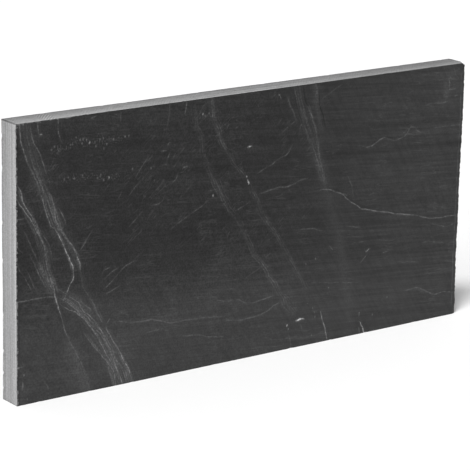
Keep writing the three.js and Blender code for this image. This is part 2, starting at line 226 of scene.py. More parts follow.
# Thin lines that run across more than down: strength, then points from left to right
LINES = (
    # Left third
    (FAINT, (0.5, 94, 0.8), (18, 94, 0.7), (30, 94, 0.4), (38, 93.5, 0.6)),
    (TRACE, (3, 167), (11, 167)),
    (TRACE, (74, 245.6), (82, 248)),
    (TRACE, (96, 248.4), (103, 246), (110, 248.8)),
    (TRACE, (71, 148.5), (78, 152)),
    (TRACE, (86.5, 91.5), (92, 93.5, 1.5), (98, 98, 1.5), (103.5, 103), (108, 107), (113, 110), (123, 113)),
    (TRACE, (90, 87), (100, 89.5), (107, 92.5)),
    (TRACE, (66, 134), (73, 142), (79, 149)),
    (TRACE, (83, 104), (90, 109, 1.2), (97, 111)),
    (TRACE, (88, 100), (97, 106, 1.2), (106, 109.5)),
    (TRACE, (112, 142), (122, 150), (131, 158)),
    (TRACE, (120, 186), (128, 197), (137, 207)),
    (TRACE, (89, 180), (95, 187)),
    (TRACE, (113, 170), (120, 178), (127, 184.5), (135.5, 191)),
    (TRACE, (100, 166), (108, 178)),
    (TRACE, (104, 60), (113.5, 57.5, 1.4), (119, 55.5, 1.5), (134, 54.8, 1.5), (141, 55.5, 1.4), (154, 51),
        (160, 48.5, 0.7), (167, 48.2, 0.6), (190, 47.5, 0.6), (200, 47, 0.6), (221, 44, 0.6)),
    (TRACE, (106, 67.5), (115, 63.2)),
    (HINT, (132, 44), (150, 44), (161, 41.4)),
    # Middle third
    (TRACE, (137, 160.5), (146, 160.5), (150, 162.5)),
    (TRACE, (148, 208), (156, 208)),
    (TRACE, (149, 195.5), (156, 195.5)),
    (HINT, (164, 199), (176, 210)),
    (TRACE, (155, 133, 0.6), (165.5, 139, 0.6), (193, 152), (200, 156)),
    (FAINT, (173, 190.5), (178, 190.5)),
    (TRACE, (200, 165), (210, 165)),
    (TRACE, (217, 170), (222, 170)),
    (TRACE, (229, 141.5), (234, 143.5), (248, 149, 0.6)),
    (TRACE, (242, 76.5, 0.6), (251, 80.5, 0.6), (263, 86)),
    (HINT, (264.5, 92.7), (273, 97)),
    (TRACE, (280, 208, 0.6), (287, 212.5, 0.6), (298, 218.5)),
    (FAINT, (301, 213), (305, 213)),
    (TRACE, (323.5, 233, 0.6), (331, 237, 0.6), (343, 243, 0.6), (350, 246)),
    (TRACE, (252, 173, 0.6), (263, 177.5, 0.6), (271, 180, 0.8), (275, 183), (287, 187), (290, 190, 0.8),
        (293, 197, 0.7)),
    (TRACE, (257, 155), (262, 155, 1.1), (270, 156.5, 1.1), (280, 157.3, 1.1), (289, 156.6),
        (298, 158.6, 0.7), (303, 161, 0.6), (316, 162, 0.6)),
    (TRACE, (172, 34, 0.7), (185.5, 32.6, 0.8), (199, 29.5, 0.8), (203, 28, 0.7), (223.5, 24, 0.7)),
    (TRACE, (206, 62, 0.6), (218, 59, 0.6), (235.5, 58, 0.7), (245, 53, 0.6), (255, 52, 0.7),
        (278, 55.2, 0.7)),
    (TRACE, (220, 40.5, 0.6), (240, 37.5, 0.8), (262.5, 39, 0.8), (270, 41), (276, 45), (284.5, 47.7, 0.8)),
    # Right third
    (FAINT, (312, 148, 0.2), (328, 148.5, 0.4), (337, 147.7, 0.6), (343, 144.5, 0.7), (353.5, 141.4, 0.7),
        (361, 134), (364.5, 130.5, 0.9), (371, 127.7), (376.5, 123.8, 0.9), (386, 121), (396.5, 118.6, 0.9),
        (411, 115), (427, 111), (441, 108.5, 0.9), (445, 107.5, 0.9), (451.5, 105, 0.8), (458, 103.6, 0.7),
        (463, 101.6, 0.6), (472, 101, 0.6), (496, 100.3, 0.5)),
    (TRACE, (354, 141), (358, 140.5), (361, 137)),
    (TRACE, (462, 98), (468, 95.5), (475, 93.2), (481, 91.5), (487, 91), (494.5, 92.3)),
    (TRACE, (368, 185, 0.6), (374, 184.5, 0.8), (382, 182.2), (388, 182.8), (397.5, 187.5), (402, 189, 0.8),
        (413, 185, 0.8), (420, 185.4), (425.5, 186.5), (429, 188.6, 1.3), (434, 195, 1.3), (437, 195),
        (440, 194), (441.5, 191), (450, 187.5, 0.7)),
    (TRACE, (300, 113.5, 0.6), (313, 113.5, 0.6), (320, 112.5, 0.7), (334.5, 107.3, 0.6)),
    (HINT, (355.5, 111), (361, 108.6), (378, 105.5)),
    (HINT, (317, 60.5), (340, 57.3), (373, 51.8)),
    (TRACE, (423.5, 64.7, 0.6), (440, 61.8, 0.7), (452, 59, 0.6)),
    (TRACE, (452, 80, 0.6), (462, 78.5, 0.7), (484.5, 74.5, 0.6)),
    (HINT, (483, 56.5), (497, 51.4)),
    (TRACE, (461, 191, 0.5), (496, 190.3, 0.5)),
    (TRACE, (452, 215, 0.4), (470, 214, 0.6), (476, 214.3), (483, 213.6, 0.6)),
    (HINT, (482, 228), (491, 229)),
    (HINT, (476, 205), (484, 205.5)),
    (HINT, (472, 219.5), (480, 219)),
    (CLEAR, (383, 79.5), (389, 83.5)),
    (FAINT, (377.5, 70), (382.5, 74.5), (386, 77.5)),
    (HINT, (374, 91), (383, 91)),
    (TRACE, (403, 76.5), (413, 76.5)),
    (TRACE, (433, 34, 0.7), (448, 34.6), (454, 33.6), (458, 31), (468, 25.5), (473, 23.9), (484.5, 25),
        (496, 21.4)),
    (TRACE, (477, 226), (489, 226)),
    (TRACE, (486, 219), (491, 219)),
    # Flecks
    (CLEAR, (3, 35), (8.5, 35)),
    (CLEAR, (23.5, 238.5), (27.5, 238.5)),
    (BRIGHT, (242, 199.7), (248.5, 201)),
    (CLEAR, (275.5, 244), (279, 244)),
    (WHITE, (302.5, 25.6), (307, 26.8), (311, 26.4), (314, 25.6)),
)

# Threaded bands that follow the veins: strength, then points from the top down
WIDE_BANDS = (
    (0.054, (8, 249, 0.25), (11, 238, 0.25), (14, 226, 0.35), (18, 212, 0.6), (24, 198), (29, 184, 0.9),
        (34, 168), (41, 152), (48, 140, 0.7), (56, 126, 0.5), (61, 112, 0.4)),
    (0.042, (1, 195, 0.6), (8, 180), (16, 164), (23, 150), (28, 136), (31, 120), (35, 106, 1.5),
        (39, 94, 1.3)),
    (0.03, (22, 128), (27, 116, 1.4), (33, 104), (38, 94, 0.5)),
    (0.07, (43, 93, 1.1), (54, 85, 1.2), (65, 74, 1.2), (76, 63), (86, 51), (95, 36, 0.85), (103, 18, 0.55),
        (110, 2, 0.5)),
    (0.025, (296, 247), (302, 232), (308, 216), (314, 200), (321, 182, 0.8), (328, 164, 0.6),
        (335, 148, 0.4)),
    (0.013, (316, 247), (320, 232), (325, 216), (328, 200, 0.5)),
)
NARROW_BANDS = (
    (0.014, (201.5, 247), (204, 232), (211, 217), (217, 202), (226, 189), (236, 178), (243, 170),
        (250, 156), (258, 141), (267, 126), (277, 113), (288, 97), (299, 80), (309, 66), (317, 53)),
    (0.016, (184, 236, 0.5), (190, 220, 0.5), (196, 196, 0.6), (204, 178), (211, 164), (219, 149),
        (228, 138), (238, 125), (246, 112), (255, 96), (265, 84), (275, 69), (286, 52), (297, 37),
        (306, 24, 0.5)),
    (0.06, (33, 187), (38, 170), (44, 153), (53, 140), (61, 127, 0.8), (65, 112, 0.3), (71, 92, 0.2),
        (80, 77, 0.3), (89, 60, 0.6)),
    (0.035, (0.5, 194), (8, 178), (17, 162), (25, 148)),
    (0.05, (91, 57), (99, 43), (107, 28), (114, 15), (120, 2)),
    (0.05, (68, 57, 0.5), (77, 44), (86, 33), (95, 20, 1.2), (102, 4, 1.2)),
    (0.023, (308, 234), (313, 223), (318, 210), (322, 195), (325, 180, 0.7), (330, 164, 0.5),
        (335, 150, 0.3)),
    (0.022, (286, 243), (293, 226), (299, 214)),
    (0.008, (318, 247), (320, 236), (324, 222)),
    (0.02, (49, 62, 0.6), (55, 48), (62, 34), (69, 20), (76, 4)),
)

# Hazes without threads: strength, then points from the top down
HAZES = (
    (0.014, (9, 246, 0.8), (15, 224, 1.2), (23, 203), (29, 188, 0.8), (34, 170, 0.6), (42, 152, 0.6)),
    (0.036, (44, 99, 0.8), (56, 92), (62, 86), (71, 76, 0.8), (80, 64, 0.6)),
    (0.024, (50, 60, 0.3), (57, 42), (62, 27), (67, 12), (71, 1)),
    (0.016, (318, 200, 0.5), (324, 180), (331, 158), (340, 132), (350, 105), (356, 78), (363, 45),
        (369, 4, 0.6)),
    (0.02, (482, 246, 0.8), (478, 226), (472, 204, 0.4)),
)

# Dark seams: strength, then points from the top down
SEAMS = (
    (0.9, (322, 242), (323, 230), (326, 223), (329, 215), (332, 204, 0.5)),
    (0.8, (303, 246), (309, 229), (314, 213), (319, 197), (323, 182, 0.5)),
    (0.5, (292, 246), (296, 234), (301, 222), (306, 210, 0.5)),
    (0.4, (46, 152), (50, 146), (54, 139)),
    (0.5, (2.2, 249), (2.4, 200, 0.7), (2.0, 150), (2.6, 90, 0.7), (2.2, 40), (2.4, 1, 0.7)),
)

# Dark level bands: strength, then points from left to right
DARK_BANDS = (
    (0.2, (30, 188), (120, 187, 0.6), (200, 185), (290, 183, 0.5)),
    (0.3, (325, 180), (400, 178), (460, 175, 0.8), (499, 172)),
    (0.18, (340, 201), (420, 199), (499, 196)),
    (0.12, (345, 122), (380, 110, 0.7), (430, 103)),
)

# Rows of pits at the upper left: strength, then points from left to right
PITTED_ROWS = (
    (0.14, (32, 222), (45, 223), (60, 227), (80, 226), (95, 224), (118, 226, 0.5)),
    (0.11, (40, 196, 0.6), (60, 196), (85, 193), (98, 191), (120, 194, 0.4), (142, 193, 0.3)),
)

# Small light specks on the front: for each strength, their places
SPECKS = {
    0.11: (
        (35, 223.5), (38.5, 225.5), (42.5, 221.5), (56, 225.5), (60, 231), (64, 228.5), (67, 228.5),
        (66, 225), (70.5, 228), (79, 224.5), (80, 221), (84, 226.5), (87.5, 227), (91, 221.5), (98, 225),
        (88, 218), (110, 226), (114, 226), (48, 196), (52, 197), (58, 195.5), (66.5, 197), (82, 192.5),
        (85, 195), (88, 190), (118, 196), (137.5, 194), (195, 234), (199, 236), (203, 233), (325, 26),
        (321.5, 8.5), (340.5, 51.8), (394.5, 16.5), (412, 31), (312.5, 79.5), (323.6, 82.7), (7.5, 27),
        (10.5, 4.5),
    ),
    0.34: (
        (73.5, 225), (93.5, 191.5), (192.5, 236), (205, 160), (242, 172.5), (294, 19.5), (316, 40),
        (322.3, 35), (324.3, 30.5), (243.3, 168.6),
    ),
    0.8: ((244.5, 166), (243.9, 167.4), (292.5, 23)),
}

# Specks: the distances at which they are whole and at which they end, their shape, and the size of the
# noise that makes their outline uneven, and how far it moves that
SPECK_CORE, SPECK_EDGE = 0.2, 1.1
SPECK_SHAPE = (1, 1, 0.6)
SPECK_WARP_SIZE, SPECK_WARP = 1.5, 1.8

# Veins: the size and detail of the clouds that warp them, how far these move them, and how far they go to
# the left and down for each millimetre through the stone
VEIN_CLOUDS = (11, 4)
VEIN_WARP = 2.6
VEIN_SLANT = (0.7, 0.3)

# Filaments of each middle vein: their shift to the right and greatest tone, their clouds, how far apart
# these are, and their least tone
FILAMENTS = ((-2.6, 0.8), (0, 1.2), (2.4, 0.96))
FILAMENT_CLOUDS = (9, 3, (0.4, 0.62))
FILAMENT_SPREAD, FILAMENT_LEAST = 90, 0.1

# Clouds of tone: their size, their detail, the part of the noise over which the tone changes, and the
# tones at the two ends of that part
MARK_GAPS = (6.5, 2, (0.36, 0.62), (0.45, 1.6))
MARK_GRAIN = (1.7, 3, (0.3, 0.7), (0.45, 1.55))
THREADS = ((1.5, 30, 1), 2, (0.4, 0.66), (0.3, 1.9))
FLECKS = ((1, 1, 1.8), 1, (0.57, 0.74), (0, 1))
LEVEL_PATCHES = (26, 3, (0.4, 0.68), (0, 1))
RISING_PATCHES = (19, 3, (0.45, 0.7), (0, 1))
MOTTLE = (55, 3, (0.3, 0.7), (0.93, 1.07))
BLOTCHES = (9, 3, (0.3, 0.7), (0.9, 1.1))
SPLIT_GRAIN = (1.5, 4, (0.25, 0.75), (0.6, 1.4))
SPLIT_LAYERS = ((70, 30, 2.4), 3, (0.3, 0.7), (-0.16, 0.16))
FINE_LAYERS = ((16, 16, 1.1), 2, (0.3, 0.7), (0.94, 1.06))
STREAKS = ((45, 45, 3), 2, (0.3, 0.7), (0.92, 1.08))
SPLIT_ROUGHNESS = (6, 3, (0.3, 0.7), (0.52, 0.66))
SAWN_LAYERS = ((160, 1.6, 160), 3, (0.3, 0.7), (0.84, 1.16))
SAWN_GRAIN = (1.3, 3, (0.25, 0.75), (0.84, 1.16))
SAW_PATCHES = (24, 3, (0.4, 0.7), (0, 0.5))
# Patches of the painted highlight along the front arris of the top
ARRIS_HIGHLIGHT_PATCHES = (4, 2, (0.3, 0.6), (0.4, 1))
TOP_DASHES = ((7, 2.2, 7), 3, (0.54, 0.7), (0, -0.3))
HEWN_LAYERS = ((40, 1.8, 40), 3, (0.3, 0.7), (0, 1))
BRUISES = (5, 4, (0.52, 0.75), (0, 0.55))

# How far apart the clouds of the threads of three bands are
THREAD_SPREAD = 7.3

# Clouds of height: their size and detail, and then the depth of each finish's height
SPLIT_PITS, SPLIT_FLAKES = (1.3, 3), ((12, 12, 1.8), 2)
SAWN_PITS, HEWN_PITS = (1, 2), (1.4, 3)
SPLIT_BUMP, SAWN_BUMP, HEWN_BUMP = 0.08, 0.06, 0.25

# Changes over the split faces: two places, and the lift or share at each. The lift leads from the dark
# tone to the light one. Low down and at the right it is painted light: light bounced up from the floor
# low down, and light from the right. Under the top it is a lighter band. Grain and layers show less at
# one end.
LOW_PAINTED_LIGHT_UP = (126, 48, 0, 1)
LOW_PAINTED_LIGHT_ALONG = (-50, 200, 1, 0.8)
RIGHT_PAINTED_LIGHT_ALONG = (-30, 220, 0, 0.66)
TOP_LIFT_UP = (HEIGHT - 30, HEIGHT - 5, 0, 0.22)
GRAIN_ALONG = (-60, 130, 1, 0.4)
GRAIN_UP = (110, 50, 1, 0.65)
LAYERS_ALONG_AND_UP = (-150, 200, 0.45, 1)
RISING_UP = (80, 130, 0, 1)
RISING_ALONG = (110, 40, 0, 1)
SHALLOW_DEPTH = (FRONT + 8, FRONT + 5, 0, 1)

# Scratches: slope, length and spacing of each kind, their strength, and their half width in the noise
LEVEL_SCRATCHES, LEVEL_STRENGTH = (-6, 48, 4.6), 0.032
RISING_SCRATCHES, RISING_STRENGTH = (40, 26, 5), 0.05
HAIRLINE = 1 / 46

# Chips of lighter stone along the arrises of the left end and of the top near it: size and detail of
# their clouds, how far in these reach, where a chip ends, and how the chips of the top end
CHIP_CLOUDS, CHIP_REACH = (2.6, 3), 6
CHIP_BORDER = (-2, -2.6, 0, 0.7)
TOP_CHIPS_ALONG = (-210, -120, 0, 3)

# Changes over the sawn edges: two places, and the tone or share at each
TOP_FACE = (HEIGHT - 2, HEIGHT - 0.6, 0, 1)
END_FACE = (LEFT + 2, LEFT + 0.5, 0, 1)
SAWN_ALONG = (LEFT, -LEFT, 1.1, 0.9)
SAWN_ACROSS = (FRONT, -FRONT, 1.08, 0.93)
TOP_ACROSS = (FRONT, -FRONT, 0.1, -0.14)
END_LIGHT = (FRONT + 9, FRONT + 3, 0, 0.15)
# Where the painted highlight along the front arris of the top lies, along and across the stone
ARRIS_HIGHLIGHT_ALONG = (-150, 100, 0.34, 0.1)
ARRIS_HIGHLIGHT_ACROSS = (FRONT + 3, FRONT + 1, 0, 1)
CORNER_SEAM = (1.6, 0.4, 1, 0.4)

# Saw marks: their period, how far they lean, the size of the clouds that warp them and how far, how much
# they change the tone and the height, and the spot where they are strongest, with its border
SAW_PERIOD, SAW_LEAN = 3, -0.9
SAW_WARP_SIZE, SAW_WARP = 20, 4
SAW_TONE, SAW_HEIGHT = 0.16, 2
SAW_SPOT, SAW_SPOT_BORDER = LEFT + 36, (9, 4, 0, 2.2)

# Lightness of the colours, and how many times as much blue as red they have
# SPLIT_LIGHT is the tone that the painted light and the band under the top lead to on the split faces
SPLIT_DARK, SPLIT_LIGHT, SEAM_TONE, VEIN_TONE, CHIP_TONE = 0.016, 0.0342, 0.005, 0.53, 0.15
SAWN_TONE = 0.227
HEWN_DARK, HEWN_LIGHT, BRUISE_TONE = 0.038, 0.094, 0.2
COOLNESS = 1.008

# Roughness where it is even, and how strongly each finish reflects
SAWN_ROUGHNESS, HEWN_ROUGHNESS = 0.8, 0.75
SPLIT_SHINE, SAWN_SHINE, HEWN_SHINE = 0.175, 0.19, 0.25

# Lights: the direction they come from, their strength and their width. The world's light is even.
LIGHTS = {
    "low_key": ((-0.80, -0.49, 0.34), 2.4, 60),
    "high_key": ((-0.32, -0.20, 0.93), 2.08, 12),
}
WORLD_STRENGTH = 0.4

# Camera: its place in metres, its azimuth, elevation and roll, and its lens and sensor
CAMERA_PLACE = (-1.2924, -1.7359, 0.7147)
CAMERA_ANGLES = (-36.43, 15.52, 1.13)
LENS, SENSOR = 188.5, 36

# Floor: its reach from the middle, its tone and its roughness
FLOOR_REACH, FLOOR_TONE, FLOOR_ROUGHNESS = 6000, 0.84, 0.9


class Shader:
    """The nodes of one material. Most methods add nodes and return the output of the last."""

    def __init__(self, name):
        self.material = bpy.data.materials.new(name)
        self.material.use_nodes = True
        self.tree = self.material.node_tree
        self.surface = self.tree.nodes["Principled BSDF"]
        place = self.add("TexCoord").outputs["Object"]
        self.place = self.vector("DIVIDE", place, MM)
        self.x, self.y, self.z = self.add("SeparateXYZ", {0: self.place}).outputs

    def feed(self, socket, value):
        """Links an input to an output, or gives it a value. One number fills all of a vector."""
        if isinstance(value, bpy.types.NodeSocket):
            self.tree.links.new(value, socket)
        elif socket.type == "VECTOR" and isinstance(value, (int, float)):
            socket.default_value = (value,) * 3
        else:
            socket.default_value = value

    def add(self, kind, inputs=None, **settings):
        """A new node with these settings and inputs."""
        node = self.tree.nodes.new("ShaderNode" + kind)
        for name, value in settings.items():
            setattr(node, name, value)
        for key, value in (inputs or {}).items():
            self.feed(node.inputs[key], value)
        return node

    def math(self, operation, *values):
        """A number worked out from other numbers."""
        return self.add("Math", dict(enumerate(values)), operation=operation).outputs[0]

    def vector(self, operation, *values):
        """A vector worked out from other vectors."""
        return self.add("VectorMath", dict(enumerate(values)), operation=operation).outputs[0]

    def plus(self, first, *others):
        """The sum of some numbers."""
        for other in others:
            first = self.math("ADD", first, other)
        return first

    def times(self, first, *others):
        """The product of some numbers."""
        for other in others:
            first = self.math("MULTIPLY", first, other)
        return first

    def factor(self, change, share):
        """A factor of one plus this share of a change."""
        return self.math("MULTIPLY_ADD", change, share, 1.0)

    def ramp(self, value, start, end, low=0.0, high=1.0):
        """A smooth change from low to high while the value goes from start to end."""
        inputs = {"Value": value, "From Min": start, "From Max": end, "To Min": low, "To Max": high}
        return self.add("MapRange", inputs, interpolation_type="SMOOTHSTEP").outputs[0]

    def noise_node(self, size, detail=2.0, place=None):
        """A node of noise. The size of its clouds is one number, or one for each axis."""
        at = self.vector("DIVIDE", place or self.place, size)
        return self.add("TexNoise", {"Vector": at, "Scale": 1.0, "Detail": detail})

    def clouds(self, size, detail=2.0, place=None):
        """Noise from 0 to 1."""
        return self.noise_node(size, detail, place).outputs[0]

    def tone(self, kind, place=None):
        """A tone that changes in clouds, of one of the kinds above."""
        size, detail, part, tones = kind
        return self.ramp(self.clouds(size, detail, place), *part, *tones)

    def sloped(self, slope):
        """Places measured along and across lines that rise to the right at a slope."""
        inputs = {"Vector": self.place, "Angle": math.radians(slope)}
        return self.add("VectorRotate", inputs, rotation_type="Y_AXIS").outputs[0]

    def mix(self, share, first, second):
        """A colour that goes from the first to the second as the share goes from 0 to 1."""
        return self.add("Mix", {0: share, 6: first, 7: second}, data_type="RGBA").outputs[2]

    def bump(self, height, depth):
        """The normal of a surface whose height goes from 0 to 1 over this depth."""
        return self.add("Bump", {"Height": height, "Distance": depth * MM}).outputs[0]

    def finish(self, **inputs):
        """The material, with these inputs of its surface."""
        for name, value in inputs.items():
            self.feed(self.surface.inputs[name.replace("_", " ")], value)
        return self.material


def grey(lightness):
    """A stone colour of this lightness, very slightly cool."""
    return (lightness, lightness, lightness * COOLNESS, 1.0)


def start_of(mark):
    """Where along the face a mark starts."""
    _, points = mark
    return points[0][0]


def end_of(mark):
    """Where along the face a mark ends."""
    _, points = mark
    return points[-1][0]


def channels_of(marks, gap):
    """The marks shared out over channels, so that those in one channel follow each other with a gap."""
    channels = []
    for mark in sorted(marks, key=start_of):
        home = next((channel for channel in channels if end_of(channel[-1]) + gap < start_of(mark)), None)
        if home is None:
            home = []
            channels.append(home)
        home.append(mark)
    return channels


def share_of(place, run):
    """A place on the face as a share of a run that reaches past the border at both ends."""
    return (place + MARGIN) / (run + 2 * MARGIN)


def place_points(channel, run, span):
    """The points of the curve that gives where across the face each mark of a channel lies."""
    points = [point for _, points in channel for point in points]
    return [(share_of(along, run), share_of(across, span)) for along, across, _ in points]


def strength_points(channel, run):
    """The points of the curve that gives how strong a channel is, which is nothing between its marks."""
    curve = [(0.0, 0.0)]
    for strength, points in channel:
        start, end = points[0][0], points[-1][0]
        ease = min(FADE, FADE_SHARE * (end - start))
        curve.append((share_of(start, run), 0.0))
        for along, _, gain in points:
            kept = share_of(min(max(along, start + ease), end - ease), run)
            if kept > curve[-1][0]:
                curve.append((kept, strength * gain))
        curve.append((share_of(end, run), 0.0))
    return curve + [(1.0, 0.0)]


def set_curve(curve, points):
    """Gives a curve these points, with straight lines between them."""
    curve.points[0].location = points[0]
    curve.points[-1].location = points[-1]
    for place, value in points[1:-1]:
        curve.points.new(place, value)
    for point in curve.points:
        point.handle_type = "VECTOR"


def curves(shader, value, point_lists):
    """A value looked up in up to three curves at once."""
    node = shader.add("RGBCurve", {"Color": value})
    nothing = [(0.0, 0.0), (1.0, 0.0)]
    for curve, points in zip(node.mapping.curves[:3], point_lists + [nothing] * 2):
        set_curve(curve, points)
    node.mapping.update()
    return node.outputs[0]


def laid(shader, marks, along, across, run, span):
    """How far off its mark each place is and how strong that mark is, for three channels at a time."""
    channels = channels_of(marks, CURVE_GAP * run)
    for first in range(0, len(channels), 3):
        triple = channels[first:first + 3]
        lies = curves(shader, along, [place_points(channel, run, span) for channel in triple])
        strength = curves(shader, along, [strength_points(channel, run) for channel in triple])
        off = shader.vector("SUBTRACT", across, lies)
        yield shader.vector("MULTIPLY", off, span + 2 * MARGIN), strength


def filled(points):
    """Points that all have their third number."""
    return [(*point, 1.0)[:3] for point in points]


def run_out(points, run):
    """Points of a mark, whose ends are moved past the border if the mark comes close to it."""
    first, *_, last = points
    if first[0] < RIM:
        points[0] = (first[0] - FADE, *first[1:])
    if last[0] > run - RIM:
        points[-1] = (last[0] + FADE, *last[1:])
    return points


def level(shader, marks, x, z):
    """Lays marks that are followed from left to right."""
    followed = [(strength, run_out(filled(points), LENGTH)) for strength, *points in marks]
    return laid(shader, followed, x, z, LENGTH, HEIGHT)


def upright(shader, marks, x, z):
    """Lays marks that are followed from the base up."""
    followed = []
    for strength, *points in marks:
        turned = [(up, along, gain) for along, up, gain in reversed(filled(points))]
        followed.append((strength, run_out(turned, HEIGHT)))
    return laid(shader, followed, z, x, HEIGHT, LENGTH)


def faded(shader, strength, off, half_width):
    """A strength that is whole on its mark and a quarter at half the mark's width."""
    ratio = shader.vector("DIVIDE", off, half_width)
    fall = shader.vector("MULTIPLY_ADD", ratio, ratio, 1.0)
    return shader.vector("DIVIDE", strength, shader.vector("MULTIPLY", fall, fall))


def drawn(shader, marks, half_width, texture=None):
    """How strong laid marks are at each place, summed over their channels. A texture follows each mark."""
    total = 0.0
    for off, strength in marks:
        part = faded(shader, strength, off, half_width)
        if texture:
            part = shader.vector("MULTIPLY", part, texture(shader, off))
        total = shader.vector("ADD", total, part)
    return shader.add("VectorMath", {0: total, 1: 1.0}, operation="DOT_PRODUCT").outputs["Value"]


def threads(shader, off):
    """Fine threads that keep to the line of their band, for three bands."""
    made = []
    for number, across in enumerate(shader.add("SeparateXYZ", {0: off}).outputs):
        place = shader.add("CombineXYZ", {0: across, 1: shader.z, 2: THREAD_SPREAD * number}).outputs[0]
        made.append(shader.tone(THREADS, place))
    return shader.add("CombineXYZ", dict(enumerate(made))).outputs[0]


def pits(shader, x, z):
    """How light the pitted rows make each place, with small upright flecks close together."""
    rows = drawn(shader, level(shader, PITTED_ROWS, x, z), PITTED_HALF)
    return shader.times(rows, shader.tone(FLECKS))


def specks(shader):
    """How light the specks make each place. They are upright and of uneven outline."""
    uneven = shader.noise_node(SPECK_WARP_SIZE).outputs["Color"]
    moved = shader.vector("MULTIPLY_ADD", uneven, SPECK_WARP, shader.place)
    moved = shader.vector("SUBTRACT", moved, SPECK_WARP / 2)
    moved = shader.vector("MULTIPLY", moved, SPECK_SHAPE)
    total = 0.0
    for strength, places in SPECKS.items():
        for x, z in places:
            centre = Vector((LEFT + x, FRONT, z)) * Vector(SPECK_SHAPE)
            off = shader.add("VectorMath", {0: moved, 1: centre}, operation="DISTANCE").outputs["Value"]
            total = shader.math("MAXIMUM", total, shader.ramp(off, SPECK_EDGE, SPECK_CORE, 0.0, strength))
    return total


def vein_places(shader):
    """Shares of the way along the face and up it, a little warped, and slanting through the stone."""
    depth = shader.plus(shader.y, -FRONT)
    warp = shader.math("MULTIPLY_ADD", shader.clouds(*VEIN_CLOUDS), VEIN_WARP, -VEIN_WARP / 2)
    starts = (shader.plus(shader.x, -LEFT), shader.z)
    shares = []
    for start, slant, run in zip(starts, VEIN_SLANT, (LENGTH, HEIGHT)):
        place = shader.math("MULTIPLY_ADD", depth, slant, shader.plus(start, warp))
        shares.append(shader.math("DIVIDE", shader.plus(place, MARGIN), run + 2 * MARGIN))
    return shares


def middle_veins(shader, x, z):
    """How light the middle veins make each place: filaments side by side that come and go."""
    total = 0.0
    for shift, most in FILAMENTS:
        moved = shader.math("SUBTRACT", x, shift / (LENGTH + 2 * MARGIN))
        filament = drawn(shader, upright(shader, MIDDLE_VEINS, moved, z), STRAND_HALF)
        place = shader.vector("ADD", shader.place, (FILAMENT_SPREAD * shift, 0.0, 0.0))
        parts = shader.tone((*FILAMENT_CLOUDS, (FILAMENT_LEAST, most)), place)
        total = shader.math("MULTIPLY_ADD", filament, parts, total)
    return total


def shallow_marks(shader, x, z):
    """How light each place is made by the marks of the front that don't go through the stone."""
    line = drawn(shader, upright(shader, ARRIS_LINE, x, z), STRAND_HALF)
    line = shader.times(line, shader.tone(MARK_GAPS))
    front = shader.ramp(shader.y, *SHALLOW_DEPTH)
    return shader.math("MULTIPLY_ADD", shader.plus(line, pits(shader, x, z)), front, specks(shader))


def light_marks(shader, x, z):
    """How light the veins and other marks make each place on a split face, from 0 to 1."""
    strands = drawn(shader, upright(shader, STRANDS, x, z), STRAND_HALF)
    lines = drawn(shader, level(shader, LINES, x, z), LINE_HALF)
    thin = shader.times(shader.math("MULTIPLY_ADD", lines, LINE_GAIN, strands), shader.tone(MARK_GAPS))
    thin = shader.plus(thin, middle_veins(shader, x, z))
    hazes = drawn(shader, upright(shader, HAZES, x, z), HAZE_HALF)
    wide = drawn(shader, upright(shader, WIDE_BANDS, x, z), WIDE_HALF, threads)
    narrow = drawn(shader, upright(shader, NARROW_BANDS, x, z), NARROW_HALF, threads)
    deep = shader.times(shader.plus(wide, narrow, hazes, thin), shader.tone(MARK_GRAIN))
    return shader.plus(deep, shallow_marks(shader, x, z))


def dark_marks(shader, x, z):
    """How dark the seams and the level bands make each place on a split face, from 0 to 1."""
    seams = drawn(shader, upright(shader, SEAMS, x, z), SEAM_HALF)
    return shader.plus(seams, drawn(shader, level(shader, DARK_BANDS, x, z), DARK_HALF))


def hairlines(shader, slope, length, spacing):
    """Thin wandering lines at a slope, where drawn-out noise passes its middle."""
    cloud = shader.clouds((length, length, spacing), place=shader.sloped(slope))
    off = shader.math("ABSOLUTE", shader.math("SUBTRACT", cloud, 0.5))
    return shader.ramp(off, HAIRLINE, 0.0)


def scratches(shader):
    """How light the scratches make each place: level ones, and rising ones on the upper left."""
    flat = shader.times(hairlines(shader, *LEVEL_SCRATCHES), shader.tone(LEVEL_PATCHES))
    rising = shader.times(hairlines(shader, *RISING_SCRATCHES), shader.tone(RISING_PATCHES))
    corner = shader.times(shader.ramp(shader.z, *RISING_UP), shader.ramp(shader.x, *RISING_ALONG))
    rising = shader.times(rising, corner, RISING_STRENGTH)
    return shader.math("MULTIPLY_ADD", flat, LEVEL_STRENGTH, rising)


def split_painted_light_and_top_band(shader):
    """Painted light on the split faces, from the dark tone to the light one: lighter low down, where light
    bounces up from the floor, and at the right, as if lit from there; also lighter under the top.
    """
    low = shader.times(shader.ramp(shader.z, *LOW_PAINTED_LIGHT_UP), shader.ramp(shader.x, *LOW_PAINTED_LIGHT_ALONG))
    right = shader.ramp(shader.x, *RIGHT_PAINTED_LIGHT_ALONG)
    top = shader.ramp(shader.z, *TOP_LIFT_UP)
    return shader.math("MAXIMUM", shader.math("MAXIMUM", low, right), top)


def split_tone(shader):
    """The uneven tone of the split faces."""
    grain = shader.times(shader.tone(BLOTCHES), shader.tone(SPLIT_GRAIN))
    shows = shader.times(shader.ramp(shader.x, *GRAIN_ALONG), shader.ramp(shader.z, *GRAIN_UP))
    grain = shader.factor(shader.math("SUBTRACT", grain, 1.0), shows)
    bedding = shader.sloped(LAYER_SLOPE)
    shows = shader.ramp(shader.plus(shader.x, shader.z), *LAYERS_ALONG_AND_UP)
    layers = shader.factor(shader.tone(SPLIT_LAYERS, bedding), shows)
    streaks = shader.tone(STREAKS, shader.sloped(VEIN_SLOPE))
    return shader.times(shader.tone(MOTTLE), grain, layers, shader.tone(FINE_LAYERS, bedding), streaks)


